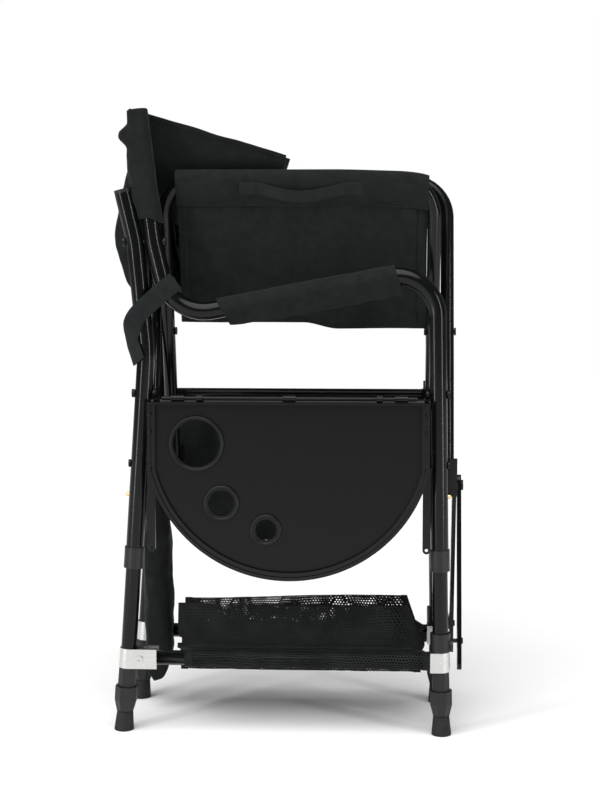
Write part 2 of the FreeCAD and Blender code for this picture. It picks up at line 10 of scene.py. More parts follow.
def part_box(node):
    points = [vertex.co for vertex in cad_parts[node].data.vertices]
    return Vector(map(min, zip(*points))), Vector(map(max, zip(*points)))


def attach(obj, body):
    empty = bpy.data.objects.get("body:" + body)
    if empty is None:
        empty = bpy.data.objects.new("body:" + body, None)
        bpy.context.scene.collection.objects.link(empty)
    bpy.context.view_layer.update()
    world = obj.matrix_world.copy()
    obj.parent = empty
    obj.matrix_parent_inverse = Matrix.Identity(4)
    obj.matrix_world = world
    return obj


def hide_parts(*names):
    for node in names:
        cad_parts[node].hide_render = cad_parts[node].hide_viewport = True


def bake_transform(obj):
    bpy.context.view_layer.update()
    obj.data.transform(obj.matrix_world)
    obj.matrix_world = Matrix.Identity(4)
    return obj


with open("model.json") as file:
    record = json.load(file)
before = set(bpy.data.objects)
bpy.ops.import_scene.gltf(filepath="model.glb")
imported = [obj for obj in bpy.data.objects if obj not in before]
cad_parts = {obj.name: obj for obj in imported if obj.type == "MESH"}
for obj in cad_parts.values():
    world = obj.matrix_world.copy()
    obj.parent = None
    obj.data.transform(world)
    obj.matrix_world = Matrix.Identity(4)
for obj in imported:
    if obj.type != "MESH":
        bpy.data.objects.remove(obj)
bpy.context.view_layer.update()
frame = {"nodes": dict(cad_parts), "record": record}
MM = 0.001
NEAR, FAR = -1, 1
SIDES = {"near": NEAR, "far": FAR}
SHARP_ANGLE = math.radians(50)
CLOTH, BAG_CLOTH, WEBBING = 1.1, 1.0, 1.6  # thicknesses in millimetres
WEBBING_BEVEL = 0.35


# ---- places taken from the frame ------------------------------------------------------
# Pieces are drawn in millimetres about the middle plane between the side frames.
SIDE_Y, PIVOT_Y = 80.0, 52.0  # side tubes and folding pivots, out from that plane
RAIL_Z, SCISSOR_Z = 783.0, 566.5  # the folded seat's rails and its scissor pins
LOWER_RAIL_Z, MESH_HINGE_Z = 105.0, 113.0
POST_LOW, POST_HIGH = Vector((-185.0, 0, 694.0)), Vector((-205.8, 0, 868.0))
POST_DIR = (POST_HIGH - POST_LOW).normalized()
POST_FRONT = Vector((POST_DIR.z, 0, -POST_DIR.x))
ARM_HEEL, ARM_FRONT = Vector((-160.0, 0, 588.5)), Vector((208.0, 0, 657.9))
MESH_LEFT, MESH_RIGHT = -158.0, 190.0
# TO_FRAME moves what is drawn to the frame's own origin.
TO_FRAME = Vector((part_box("near_mesh_rise")[0][0] / MM - MESH_LEFT,
                   (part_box("near_rear_leg_tube")[0][1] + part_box("far_rear_leg_tube")[1][1]) / 2 / MM, 0))


def metres(point):
    """A drawn point, in millimetres, as a place in the frame."""
    return (Vector(point) + TO_FRAME) * MM


# ---- mesh helpers ---------------------------------------------------------------------
def make_object(name, points, faces, mat, smooth=True, uvs=None):
    """A mesh through drawn points; uvs, one per point, are lengths on the cloth in metres."""
    mesh = bpy.data.meshes.new(name)
    mesh.from_pydata([tuple(metres(p)) for p in points], [], faces)
    if uvs:
        layer = mesh.uv_layers.new(name="cloth")
        for loop in mesh.loops:
            layer.data[loop.index].uv = uvs[loop.vertex_index]
    mesh.validate()
    piece = bpy.data.objects.new(name, mesh)
    bpy.context.scene.collection.objects.link(piece)
    piece.data.materials.append(mat)
    if smooth:
        mesh.polygons.foreach_set("use_smooth", [True] * len(mesh.polygons))
    return piece


def grid_faces(rows, columns, wrap=False):
    """Four-sided faces between neighbouring points of a grid; wrap closes each row."""
    faces = []
    for i in range(rows - 1):
        for j in range(columns if wrap else columns - 1):
            k = (j + 1) % columns
            faces.append((i * columns + j, i * columns + k, (i + 1) * columns + k, (i + 1) * columns + j))
    return faces


def thicken(piece, thickness, levels=0):
    """Give a sheet its cloth thickness."""
    solid = piece.modifiers.new("thickness", "SOLIDIFY")
    solid.thickness = thickness
    solid.offset = 0
    solid.use_rim = True
    if levels:
        sub = piece.modifiers.new("smooth", "SUBSURF")
        sub.levels = sub.render_levels = levels
    return settle(piece)


def settle(piece):
    """Apply a piece's modifiers, smooth it and mark its corners sharp."""
    bpy.context.view_layer.update()
    settled = bpy.data.meshes.new_from_object(piece.evaluated_get(bpy.context.evaluated_depsgraph_get()))
    piece.modifiers.clear()
    piece.data = settled
    settled.polygons.foreach_set("use_smooth", [True] * len(settled.polygons))
    settled.set_sharp_from_angle(angle=SHARP_ANGLE)
    return piece


def lengths(points):
    """Distance run along a line of points, in metres."""
    run = [0.0]
    for a, b in zip(points, points[1:]):
        run.append(run[-1] + (b - a).length * MM)
    return run


def sheet_grid(name, rows, mat, thickness=CLOTH, levels=0, run=0.0):
    """A thin closed sheet through a grid of drawn points; run is the cloth's length before it."""
    across = lengths(rows[len(rows) // 2])
    down = [run + d for d in lengths([row[len(row) // 2] for row in rows])]
    uvs = [(a, d) for d in down for a in across]
    faces = grid_faces(len(rows), len(rows[0]))
    piece = make_object(name, [p for row in rows for p in row], faces, mat, uvs=uvs)
    return thicken(piece, thickness * MM, levels)


def ribbon(name, centres, across, mat, width, thickness=WEBBING, columns=5):
    """Flat webbing: centre points, and the direction across it at each."""
    rows = []
    for centre, side in zip(centres, across):
        rows.append([centre + side * width * (j / (columns - 1) - 0.5) for j in range(columns)])
    piece = sheet_grid(name, rows, mat, thickness)
    bevel = piece.modifiers.new("edge", "BEVEL")
    bevel.width, bevel.segments, bevel.limit_method = WEBBING_BEVEL * MM, 2, "ANGLE"
    return settle(piece)


def smooth_line(points, count):
    """Points along a Catmull-Rom curve through the given ones."""
    padded = [2 * points[0] - points[1]] + list(points) + [2 * points[-1] - points[-2]]
    line = []
    for k in range(count):
        t = k / (count - 1) * (len(points) - 1)
        i = min(int(t), len(points) - 2)
        t -= i
        a, b, c, d = padded[i:i + 4]
        line.append(0.5 * (2 * b + (c - a) * t + (2 * a - 5 * b + 4 * c - d) * t ** 2
                           + (3 * b - a - 3 * c + d) * t ** 3))
    return line


def wrinkle(point, scale, amount, seed=0.0):
    """Smooth signed noise in millimetres at a point in millimetres."""
    return noise.noise(point / scale + Vector((seed, seed * 1.7, -seed))) * amount


def ease(value, low, high):
    """Smooth step from 0 at low to 1 at high."""
    t = min(1.0, max(0.0, (value - low) / (high - low)))
    return t * t * (3 - 2 * t)


def crease(x, z, start, end, width, height):
    """A soft ridge along the line from start to end, fading out beyond both."""
    a, b, p = Vector(start), Vector(end), Vector((x, z))
    along = (b - a).normalized()
    run = (p - a).dot(along) / (b - a).length
    off = (p - a - along * (p - a).dot(along)).length
    return height * math.exp(-(off / width) ** 2) * math.exp(-max(0.0, -run, run - 1) ** 2 * 12)


STITCH_PITCH, STITCH_LENGTH, STITCH_WIDTH, STITCH_LIFT = 3.6, 2.5, 0.55, 0.5
STITCH_ARCH = ((-0.5, 0.0), (-0.3, 0.35), (0.3, 0.35), (0.5, 0.0))  # share of its length, height
STITCH_ROOT = 0.4  # how deep its ends go into the cloth


def stitches(name, path, normal, mat):
    """A row of raised thread stitches along a list of points in millimetres."""
    vertices, faces = [], []
    distance, index = 0.0, 0
    for a, b in zip(path, path[1:]):
        step = (b - a).length
        while index * STITCH_PITCH < distance + step:
            along = (b - a).normalized()
            centre = a + along * (index * STITCH_PITCH - distance) + normal * STITCH_LIFT
            side = along.cross(normal).normalized() * STITCH_WIDTH / 2
            base = len(vertices)
            for end, height in STITCH_ARCH:
                for sign in (-1, 1):
                    vertices.append(centre + along * STITCH_LENGTH * end + side * sign + normal * height)
            vertices += [centre - along * STITCH_LENGTH * 0.5 - normal * STITCH_ROOT,
                         centre + along * STITCH_LENGTH * 0.5 - normal * STITCH_ROOT]
            low, high = base + 8, base + 9
            faces += [(base + k, base + k + 1, base + k + 3, base + k + 2) for k in (0, 2, 4)]
            faces += [(base, low, base + 1), (base + 6, base + 7, high),
                      (base, base + 2, base + 4, base + 6, high, low),
                      (base + 1, low, high, base + 7, base + 5, base + 3)]
            index += 1
        distance += step
    return make_object(name, vertices, faces, mat, smooth=False)


# ---- materials ------------------------------------------------------------------------
def new_material(name, colour, roughness, metallic=0.0, **sockets):
    """A material with its node tree and shader; a socket's spaces are written as underscores."""
    mat = bpy.data.materials.new(name)
    mat.use_nodes = True
    shader = mat.node_tree.nodes["Principled BSDF"]
    shader.inputs["Base Color"].default_value = (*colour, 1)
    shader.inputs["Roughness"].default_value = roughness
    shader.inputs["Metallic"].default_value = metallic
    for socket, value in sockets.items():
        shader.inputs[socket.replace("_", " ")].default_value = value
    return mat, mat.node_tree, shader


def node(tree, kind, **settings):
    """A node with its inputs or properties set."""
    made = tree.nodes.new(kind)
    for key, value in settings.items():
        if key in made.inputs:
            made.inputs[key].default_value = value
        else:
            setattr(made, key, value)
    return made


def place(tree, scale=(1, 1, 1)):
    """Object coordinates, stretched per axis."""
    source = tree.nodes.new("ShaderNodeTexCoord")
    mapping = tree.nodes.new("ShaderNodeMapping")
    mapping.inputs["Scale"].default_value = scale
    tree.links.new(source.outputs["Object"], mapping.inputs["Vector"])
    return mapping.outputs["Vector"]


def vary(tree, shader, socket, low, high, scale, stretch=(1, 1, 1), detail=4):
    """Noise on a colour or number of the shader, between two values."""
    texture = node(tree, "ShaderNodeTexNoise", Scale=scale, Detail=detail)
    tree.links.new(place(tree, stretch), texture.inputs["Vector"])
    ramp = tree.nodes.new("ShaderNodeValToRGB")
    ramp.color_ramp.elements[0].position, ramp.color_ramp.elements[1].position = 0.35, 0.65
    for element, value in zip(ramp.color_ramp.elements, (low, high)):
        element.color = (*value, 1) if hasattr(value, "__len__") else (value, value, value, 1)
    tree.links.new(texture.outputs["Fac"], ramp.inputs["Fac"])
    tree.links.new(ramp.outputs["Color"], shader.inputs[socket])


def bump(tree, shader, height, strength, distance):
    """Relief from a height, laid over any relief the shader already has."""
    made = node(tree, "ShaderNodeBump", Strength=strength, Distance=distance)
    tree.links.new(height, made.inputs["Height"])
    previous = shader.inputs["Normal"].links
    if previous:
        tree.links.new(previous[0].from_socket, made.inputs["Normal"])
    tree.links.new(made.outputs["Normal"], shader.inputs["Normal"])


def noise_bump(tree, shader, scale, strength, distance, stretch=(1, 1, 1)):
    """Relief from noise."""
    texture = node(tree, "ShaderNodeTexNoise", Scale=scale, Detail=3.0)
    tree.links.new(place(tree, stretch), texture.inputs["Vector"])
    bump(tree, shader, texture.outputs["Fac"], strength, distance)


WAVE_PERIOD = math.pi / 10  # distance between the wave texture's bands at a scale of 1


def weave(tree, pitch, on_uv):
    """Plain weave: two crossed sets of threads, as a height from 0 to 1."""
    if on_uv:
        source = tree.nodes.new("ShaderNodeUVMap")
        source.uv_map = "cloth"
        place_out, axes = source.outputs["UV"], ("X", "Y")
    else:
        place_out, axes = place(tree), ("X", "Z")
    both = node(tree, "ShaderNodeMath", operation="MAXIMUM")
    for k, axis in enumerate(axes):
        wave = node(tree, "ShaderNodeTexWave", bands_direction=axis, wave_profile="SIN", Distortion=0.6)
        wave.inputs["Scale"].default_value = WAVE_PERIOD / pitch
        wave.inputs["Detail Scale"].default_value = 2.0
        tree.links.new(place_out, wave.inputs["Vector"])
        tree.links.new(wave.outputs["Fac"], both.inputs[k])
    return both.outputs[0]


def paint(name, colour, roughness, shine, texture=0.03):
    """Enamel with a faint orange peel."""
    mat, tree, shader = new_material(name, colour, roughness, Specular_IOR_Level=shine)
    vary(tree, shader, "Roughness", roughness * 0.92, roughness * 1.12, 18)
    noise_bump(tree, shader, 900, texture, 0.0004)
    return mat


def cloth(name, colour, pitch, strength=0.35, on_uv=True):
    """Woven cloth with uneven dye, a plain weave and soft creases; pitch is in metres."""
    mat, tree, shader = new_material(name, colour, 0.8, Specular_IOR_Level=0.16,
                                     Sheen_Weight=0.06, Sheen_Roughness=0.4)
    vary(tree, shader, "Base Color", [c * 0.88 for c in colour], [c * 1.14 for c in colour], 30)
    vary(tree, shader, "Roughness", 0.72, 0.9, 90)
    bump(tree, shader, weave(tree, pitch, on_uv), strength, 0.0003)
    noise_bump(tree, shader, 70, 0.25, 0.0015)
    return mat


def calc(tree, operation, a, b=None):
    """A math node on sockets or numbers."""
    made = node(tree, "ShaderNodeMath", operation=operation)
    for k, value in enumerate((a, b)):
        if isinstance(value, (int, float)):
            made.inputs[k].default_value = value
        elif value is not None:
            tree.links.new(value, made.inputs[k])
    return made.outputs[0]


MESH_PULL, MESH_LINE_PITCH = 3.0, 0.85  # drift and distance of the rows of holes, in pitches


def mesh_cloth(name, colour, pitch, hole):
    """Open knitted mesh: staggered round holes that light passes through, pulled out of line."""
    mat, tree, shader = new_material(name, colour, 0.6, Specular_IOR_Level=0.12)
    vary(tree, shader, "Base Color", [c * 0.7 for c in colour], [c * 1.4 for c in colour], 40)
    source = tree.nodes.new("ShaderNodeUVMap")
    source.uv_map = "cloth"
    drift = node(tree, "ShaderNodeTexNoise", Scale=22.0, Detail=2.0)
    tree.links.new(source.outputs["UV"], drift.inputs["Vector"])
    pulled = node(tree, "ShaderNodeVectorMath", operation="MULTIPLY_ADD")
    pulled.inputs[1].default_value = (pitch * MESH_PULL,) * 3
    tree.links.new(drift.outputs["Color"], pulled.inputs[0])
    tree.links.new(source.outputs["UV"], pulled.inputs[2])
    split = tree.nodes.new("ShaderNodeSeparateXYZ")
    tree.links.new(pulled.outputs[0], split.inputs[0])
    column = calc(tree, "DIVIDE", split.outputs["X"], pitch)
    line = calc(tree, "DIVIDE", split.outputs["Y"], pitch * MESH_LINE_PITCH)
    shift = calc(tree, "MULTIPLY", calc(tree, "PINGPONG", calc(tree, "FLOOR", line), 1.0), 0.5)
    across = calc(tree, "SUBTRACT", calc(tree, "FRACT", calc(tree, "ADD", column, shift)), 0.5)
    up = calc(tree, "SUBTRACT", calc(tree, "FRACT", line), 0.5)
    radius = calc(tree, "SQRT", calc(tree, "ADD", calc(tree, "MULTIPLY", across, across),
                                     calc(tree, "MULTIPLY", up, up)))
    tree.links.new(calc(tree, "GREATER_THAN", radius, hole), shader.inputs["Alpha"])
    bump(tree, shader, radius, 0.5, 0.0006)
    return mat


BLACK_CLOTH = (0.0062, 0.0078, 0.0078)
LOOKS = {
    "black_steel": paint("black_enamel", (0.0028, 0.0032, 0.0034), 0.16, 0.22),
    "black_fittings": paint("black_hardware", (0.004, 0.0042, 0.0045), 0.34, 0.25, 0.08),
    "table_top": paint("satin_table_paint", (0.0028, 0.0030, 0.0028), 0.30, 0.2, 0.07),
    "table_edge": paint("gloss_table_rim", (0.0016, 0.0018, 0.0020), 0.12, 0.26),
    "canvas": cloth("black_canvas", BLACK_CLOTH, 0.0009),
    "soft_canvas": cloth("black_soft_canvas", BLACK_CLOTH, 0.0009, on_uv=False),
    "webbing": cloth("black_webbing", (0.0088, 0.0108, 0.0108), 0.0014, 0.7),
    "mesh": mesh_cloth("black_mesh", (0.0085, 0.0095, 0.0095), 0.0042, 0.32),
    "mesh_binding": cloth("mesh_binding", (0.0055, 0.0062, 0.0062), 0.0011, 0.5),
}
LOOKS["zinc_steel"], _tree, _shader = new_material("zinc_plate", (0.60, 0.60, 0.585), 0.3, 1.0)
vary(_tree, _shader, "Roughness", 0.24, 0.38, 60, (1, 1, 5))
noise_bump(_tree, _shader, 300, 0.03, 0.0002, (1, 1, 6))
LOOKS["brass"], _tree, _shader = new_material("brass_button", (0.78, 0.57, 0.27), 0.24, 1.0)
vary(_tree, _shader, "Roughness", 0.18, 0.38, 300)
LOOKS["moulded_plastic"], _tree, _shader = new_material(
    "moulded_plastic", (0.008, 0.0086, 0.0088), 0.45, Specular_IOR_Level=0.35)
noise_bump(_tree, _shader, 1400, 0.12, 0.0003)
vary(_tree, _shader, "Roughness", 0.38, 0.52, 60)
LOOKS["rubber"], _tree, _shader = new_material("foot_rubber", (0.010, 0.0105, 0.0105), 0.68,
                                               Specular_IOR_Level=0.3)
noise_bump(_tree, _shader, 700, 0.2, 0.0004)
vary(_tree, _shader, "Roughness", 0.58, 0.8, 90)
THREAD, _tree, _shader = new_material("black_thread", (0.011, 0.012, 0.012), 0.5, Specular_IOR_Level=0.3)
vary(_tree, _shader, "Roughness", 0.45, 0.65, 800)


def dress_cad_nodes():
    """Give each CAD node the look of its material slot."""
    for subpart in frame["record"]["subparts"]:
        piece = frame["nodes"][subpart["node"]]
        for place_in_list in range(len(piece.data.materials)):
            piece.data.materials[place_in_list] = LOOKS[subpart["material_slot"]]


def finish_piece(piece, body=None, replaced=()):
    """Attach a piece to the body that it rides on and hide the CAD nodes that it stands for."""
    if body:
        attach(piece, body)
    if replaced:
        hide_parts(*replaced)
    return piece


# ---- seat cloth -------------------------------------------------------------------------
SEAT_LEFT, SEAT_RIGHT = -157.0, 197.0
SEAT_WIDTH = SEAT_RIGHT - SEAT_LEFT
CASING_R, LAP, HEM = 11.4, 38.0, 13.0
SEAM_X = [SEAT_LEFT + 0.3, SEAT_LEFT + HEM - 0.5, SEAT_LEFT + HEM + 0.5,
          SEAT_RIGHT - HEM - 0.5, SEAT_RIGHT - HEM + 0.5, SEAT_RIGHT - 0.3]
LAP_LINE = ((LAP, 2.2, 0.3), (LAP - 0.8, 4.8, 0.3), (26, 7.6, 0.7), (13, 10.4, 0.5))  # down, out, slack
# start and end in x and z, width, height
SEAT_CREASES = (((110, 768), (172, 735), 7, 3.2), ((-150, 690), (-60, 640), 14, -2.5),
                ((-20, 600), (60, 575), 10, 3.5))
CASING_SEAMS = ((LAP - 4, 5.1), (LAP - 9, 6.2))  # down, out
CASING_POINTS, PANEL_START, PANEL_STEPS = 9, 27, 17
CORNER_X, CORNER_R = 150.0, 55.0  # where the rail's front corner starts, and its radius


def seat_frame(side):
    """Rail centre, direction down the panel, outward normal and panel length, in the Y-Z plane."""
    rail = Vector((0, side * PIVOT_Y, RAIL_Z))
    down = (Vector((0, 0, SCISSOR_Z + 4)) - rail)
    length = down.length
    down.normalize()
    outward = Vector((0, side, 0)) - down * (side * down.y)
    return rail, down, outward.normalized(), length


def seat_profile(side):
    """Points from the lap's sewn edge, over the rail and down to the valley: (point, slack)."""
    rail, down, out, length = seat_frame(side)
    points = [(rail + down * s + out * h, slack) for s, h, slack in LAP_LINE]
    for k in range(CASING_POINTS):
        angle = math.pi * k / (CASING_POINTS - 1)
        points.append((rail + (out * math.cos(angle) - down * math.sin(angle)) * CASING_R, 0.0))
    points += [(rail + down * 14 - out * 7.5, 0.2), (rail + down * PANEL_START - out * 2.5, 0.4)]
    for k in range(1, PANEL_STEPS):
        s = PANEL_START + (length - 30 - PANEL_START) * k / PANEL_STEPS
        points.append((rail + down * s, 1.0))
    points.append((rail + down * (length - 14), 0.8))
    points.append((rail + down * (length - 6), 0.5))
    return points


def seat_point(x, point, slack, out):
    """Where the seat cloth lies at x: it folds where it is slack, and follows the rail's corner."""
    u = (x - SEAT_LEFT) / SEAT_WIDTH
    here = Vector((x, point.y, point.z))
    fold = wrinkle(Vector((x, point.y, point.z * 0.45)), 62, 6.0, 3.1) + wrinkle(here, 21, 1.6, 8.0)
    shift = slack * (fold * 0.8 + 3.2 * math.sin(math.pi * u))
    for start, end, wide, height in SEAT_CREASES:
        shift += slack * crease(x, point.z, start, end, wide, height)
    if slack > 0.7 and min(u, 1 - u) * SEAT_WIDTH < HEM:
        shift += 2.0
    here += out * shift
    depth = max(0.0, (RAIL_Z - point.z) / (RAIL_Z - SCISSOR_Z))
    here.z += depth ** 3 * (7.0 - 9.0 * ease(u, 0.5, 0.64))
    bend = max(0.0, x - CORNER_X)
    fall = CORNER_R - math.sqrt(max(0.0, CORNER_R ** 2 - bend ** 2))
    here.z -= (0.22 * fall + 3.0 * ease(x, 60, 190)) * (1 - depth)
    here.x += (u - 0.5) * -4.0 * math.sin(math.pi * depth)
    return here


def seat_cloth():
    """One sheet over both rails, folded down between them to the scissor."""
    near, far = seat_profile(NEAR), seat_profile(FAR)
    valley = Vector((0, 0, SCISSOR_Z + 7))
    profile = near + [(valley, 0.4)] + far[::-1]
    out_near, out_far = seat_frame(NEAR)[2], seat_frame(FAR)[2]
    count = 72
    xs = sorted([SEAT_LEFT + SEAT_WIDTH * k / count for k in range(count + 1)] + SEAM_X)
    rows = []
    for index, (point, slack) in enumerate(profile):
        out = out_near if index <= len(near) else out_far
        rows.append([seat_point(x, point, slack, out) for x in xs])
    piece = sheet_grid("seat_cloth", rows, LOOKS["canvas"])
    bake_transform(piece)
    finish_piece(piece, replaced=("near_seat_half", "far_seat_half"))
    halves = {"near": rows[:len(near)], "far": rows[:len(near):-1]}
    for name, side in SIDES.items():
        seat_stitches(name, side, halves[name], (xs.index(SEAM_X[1]) - 1, xs.index(SEAM_X[4]) + 1))


def seat_stitches(name, side, half, hem_columns):
    """Two rows along the casing and one along each hem of a half's panel."""
    rail, down, out, _ = seat_frame(side)
    body = "inner_frame" if side == NEAR else "outer_frame"
    for k, (s, h) in enumerate(CASING_SEAMS):
        line = [rail + Vector((x, 0, 0)) + down * s + out * h for x in range(-154, 195, 12)]
        stitches_on(f"{name}_casing_stitches_{k}", line, out, body)
    panel = half[len(LAP_LINE) + CASING_POINTS + 2:-3]
    for end, column in zip(("rear", "front"), hem_columns):
        stitches_on(f"{name}_{end}_hem_stitches", [row[column] + out * 0.9 for row in panel], out, body)


def stitches_on(name, line, normal, body):
    """Stitches that ride on a body."""
    return finish_piece(stitches(name, line, normal, THREAD), body)


HANDLE_LEFT, HANDLE_RIGHT, HANDLE_WIDTH, HANDLE_DOWN = -66.0, 103.0, 17.0, 12.0
ANCHOR_LENGTH, HANDLE_SEAMS = 23.0, (5.5, 18.5)


def webbing_handle():
    """Carrying handle sewn to the outside of the near casing."""
    rail, down, out, _ = seat_frame(NEAR)
    centres = []
    for k in range(33):
        t = k / 32
        place_at = rail + Vector((HANDLE_LEFT + (HANDLE_RIGHT - HANDLE_LEFT) * t, 0, 0))
        free = math.sin(math.pi * min(1, max(0, (t - 0.13) / 0.76)))
        sag, proud = 11.0 * free ** 1.3, 5.5 * free ** 0.6
        centres.append(place_at + down * (HANDLE_DOWN + sag) + out * (11.9 + proud))
    piece = ribbon("carry_handle", centres, [down] * len(centres), LOOKS["webbing"], HANDLE_WIDTH)
    finish_piece(piece, "inner_frame")
    for k, x in enumerate((HANDLE_LEFT - 1.0, HANDLE_RIGHT - ANCHOR_LENGTH + 1.0)):
        start = rail + Vector((x, 0, 0))
        patch = [start + Vector((ANCHOR_LENGTH * i / 4, 0, 0)) + down * HANDLE_DOWN + out * 13.6
                 for i in range(5)]
        anchor = ribbon(f"handle_anchor_{k}", patch, [down] * 5, LOOKS["webbing"], HANDLE_WIDTH + 1)
        finish_piece(anchor, "inner_frame")
        for m, s in enumerate(HANDLE_SEAMS):
            line = [start + Vector((along, 0, 0)) + down * s + out * 14.4 for along in (2, 21)]
            stitches_on(f"handle_stitches_{k}_{m}", line, out, "inner_frame")


# ---- back cloth -------------------------------------------------------------------------
BACK_LOW, BACK_HIGH, BACK_SET = 757.0, 868.0, 13.2
BACK_HEM = 7.0
FOLD_LOW_Y, FOLD_HIGH_Y = -16.5, -60.0
BACK_WIDTHS = (182.0, 227.0)
BACK_FOLD, BACK_FOLD_R = math.radians(94.0), 4.0
BACK_RISE = 8.5  # how much the top edge lifts where the panel folds
FLAP_POINTS, PANEL_POINTS = 10, 45


def post_at(z, y=0.0):
    """The post's centre line at a height."""
    point = POST_LOW + POST_DIR * ((z - POST_LOW.z) / POST_DIR.z)
    return Vector((point.x, y, point.z))


def back_point(z, y):
    """The cloth's plane behind the post."""
    point = post_at(z) - POST_FRONT * BACK_SET
    return Vector((point.x, y, point.z))


def back_cloth(name, side):
    """Flap behind the post and the half panel that folds forward from it."""
    low, high = back_point(BACK_LOW, FOLD_LOW_Y), back_point(BACK_HIGH, FOLD_HIGH_Y)
    axis = (high - low).normalized()
    ahead = (Vector((0, 1, 0)) - axis * axis.y).normalized()
    arc = BACK_FOLD_R * BACK_FOLD
    end_dir = ahead * math.cos(BACK_FOLD) + POST_FRONT * math.sin(BACK_FOLD)
    top, bottom = BACK_HIGH + 3.5, BACK_LOW - 4

    def folded(along, past):
        """Where the cloth lies along the fold's axis and past it."""
        foot = low + axis * along
        angle = min(past / BACK_FOLD_R, BACK_FOLD)
        turn = foot + ahead * BACK_FOLD_R * math.sin(angle) + POST_FRONT * BACK_FOLD_R * (1 - math.cos(angle))
        return turn if past < arc else turn + end_dir * (past - arc)

    def panel_point(z, along, past, width):
        """A point past the fold: it bows, sways and stays lower towards its free end."""
        point = folded(along, past)
        point.z += BACK_RISE * max(0.0, (z - BACK_LOW) / (BACK_HIGH - BACK_LOW)) * (1 - past / width)
        reach = min(1.0, past / 60.0)
        sway = wrinkle(Vector((past, along * 1.6, 0)), 48, 5.0, 2.0) * reach
        bow = 3.0 * math.sin(math.pi * min(1, past / width))
        bow *= math.sin(math.pi * (z - bottom) / (top - bottom))
        point = point + ahead * (min(sway, 1.2) * 0.9 + bow)
        ripple = wrinkle(Vector((past, 40, 5)), 60, 0.8, 6.0)
        point.z += ripple * reach * (0.3 + 0.7 * max(0.0, 1 - past / 200))
        return point

    heights = sorted([bottom + (top - bottom) * i / 24 for i in range(25)]
                     + [top - 0.3, top - BACK_HEM + 0.5, top - BACK_HEM - 0.5, bottom + 0.3])
    rows, seam = [], []
    for z in heights:
        across = (z - BACK_LOW) / (BACK_HIGH - BACK_LOW)
        fold_y = FOLD_LOW_Y + (FOLD_HIGH_Y - FOLD_LOW_Y) * across
        width = BACK_WIDTHS[0] + (BACK_WIDTHS[1] - BACK_WIDTHS[0]) * across
        edge = width - 1
        hem_steps = [edge - BACK_HEM - 0.5, edge - BACK_HEM + 0.5, edge - 0.3]
        steps = sorted([edge * k / (PANEL_POINTS - 1) for k in range(PANEL_POINTS)] + hem_steps)
        flap = [-SIDE_Y - 4 + (fold_y + SIDE_Y + 2) * k / (FLAP_POINTS - 1) for k in range(FLAP_POINTS)]
        row = []
        for y in flap + [fold_y + step for step in steps]:
            point = back_point(z, y)
            along, past = (point - low).dot(axis), (point - low).dot(ahead)
            point.z += BACK_RISE * max(0.0, across) * ease(y, -SIDE_Y, fold_y)
            if past > 0:
                point = panel_point(z, along, past, width)
                if z > top - BACK_HEM or y - fold_y > edge - BACK_HEM:
                    point = point - ahead * 0.9
            row.append(Vector((point.x, point.y * -side, point.z)))
        rows.append(row)
        if top - BACK_HEM - 2.4 < z < top - BACK_HEM - 0.4:
            seam = row[FLAP_POINTS + 4:]
    piece = sheet_grid(name + "_back_cloth", rows, LOOKS["canvas"])
    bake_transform(piece)
    finish_piece(piece, replaced=(name + "_back_panel",))
    outward = Vector((-ahead.x, -ahead.y * -side, -ahead.z))
    line = [p + outward * 1.0 + Vector((0, 0, 2.6)) for p in seam]
    row = stitches_on(name + "_back_hem_stitches", line, outward, name + "_back")


SLEEVE_LOW, SLEEVE_HIGH = 724.0, 871.5
SLEEVE_R, SLEEVE_R_SIDEWAYS = 14.4, 16.5
SLEEVE_ROWS, SLEEVE_COLUMNS = 52, 48
# start and end round the sleeve and in z, width, height
SLEEVE_CREASES = (((38, 862), (62, 742), 3.4, 2.6), ((70, 830), (48, 760), 3.0, 2.0))


def back_sleeve(name, side):
    """Loose gathered sleeve of the back cloth round the post."""
    rows = []
    for i in range(SLEEVE_ROWS):
        h = i / (SLEEVE_ROWS - 1)
        z = SLEEVE_LOW + (SLEEVE_HIGH - SLEEVE_LOW) * h
        centre = post_at(z, -SIDE_Y)
        shut = 1 - 0.08 * ease(z, 850, 875)
        row = []
        for j in range(SLEEVE_COLUMNS):
            angle = 2 * math.pi * j / SLEEVE_COLUMNS
            forward, sideways = math.cos(angle), math.sin(angle)
            behind = max(0.0, -forward)
            flap = 13.0 * ease(z, 822, 840) * (1 - ease(z, 843, 856)) * behind ** 3
            loose = behind * (6.0 * math.sin(math.pi * min(1, h * 1.25)) + 1.0) + flap
            gather = wrinkle(Vector((angle * 14, z * 0.5, 0)), 10, 3.2, 4.0) * (0.25 + 0.75 * behind)
            fold = sum(crease(angle * 16, z, *where) for where in SLEEVE_CREASES)
            radius = SLEEVE_R + loose + max(-0.6, gather) + fold
            skirt = 2.6 * (1 - ease(z, SLEEVE_LOW, 760)) * max(0.0, forward)
            drop = 3.0 - 9.0 * max(0.0, forward) * (1 - ease(z, SLEEVE_LOW, 745))
            row.append(centre + POST_FRONT * (forward * (radius + skirt) * shut + 9.0 * (1 - shut))
                       + Vector((0, -1, 0)) * sideways * min(radius, SLEEVE_R_SIDEWAYS) * shut
                       + Vector((0, 0, drop)))
        rows.append(row)
    rim, top = rows[-1], post_at(SLEEVE_HIGH, -SIDE_Y)
    for above, share in ((1.0, 0.9), (1.8, 0.5), (2.0, 0.05)):
        rows.append([post_at(SLEEVE_HIGH + above, -SIDE_Y) + (p - top) * share for p in rim])
    rows = [[Vector((p.x, p.y * -side, p.z)) for p in row + row[:1]] for row in rows]
    piece = sheet_grid(name + "_post_sleeve", rows, LOOKS["canvas"])
    finish_piece(piece, name + "_side", (name + "_back_sleeve",))


